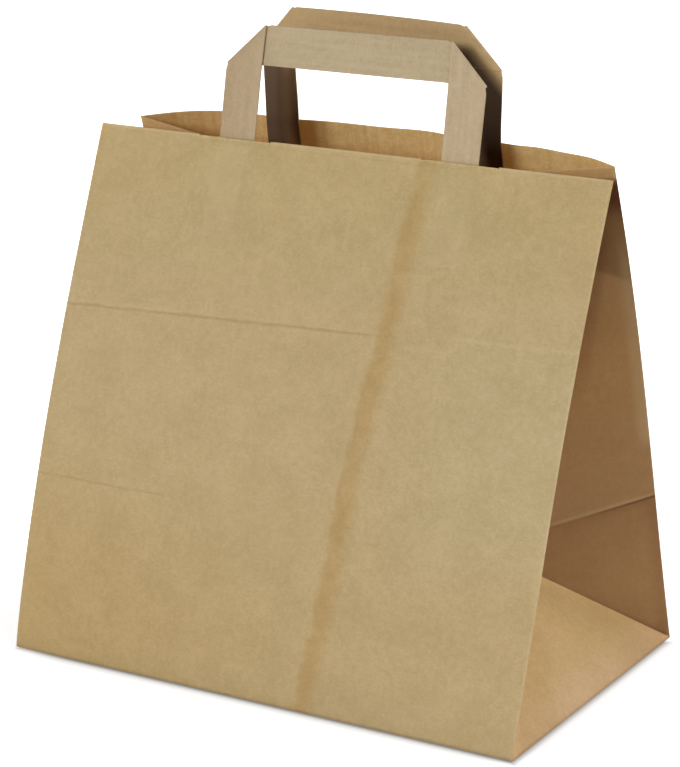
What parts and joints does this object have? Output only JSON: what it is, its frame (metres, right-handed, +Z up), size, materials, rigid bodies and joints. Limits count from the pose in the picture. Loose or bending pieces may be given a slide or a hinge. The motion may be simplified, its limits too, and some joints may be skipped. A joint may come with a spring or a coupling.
{
  "type": "paper carrier bag",
  "caption": "Brown kraft paper carrier bag with a folded block bottom, side gussets and flat paper tape handles, standing open.",
  "frame": {"origin": "middle of the base rectangle, at the underside of the outer bottom flap", "axes": "+Z up out of the mouth, +X along the front panel to its right, -Y out of the front panel"},
  "size_m": [0.26, 0.17, 0.2932],
  "materials": {
    "brown_kraft": "uncoated brown kraft, matte",
    "handle_tape": "folded kraft tape, matte",
    "patch_kraft": "glued kraft patch, matte"
  },
  "bodies": {
    "root": {"bag_body": "brown_kraft", "front_handle": "handle_tape", "back_handle": "handle_tape", "front_handle_patch": "patch_kraft", "back_handle_patch": "patch_kraft"}
  },
  "joints": []
}
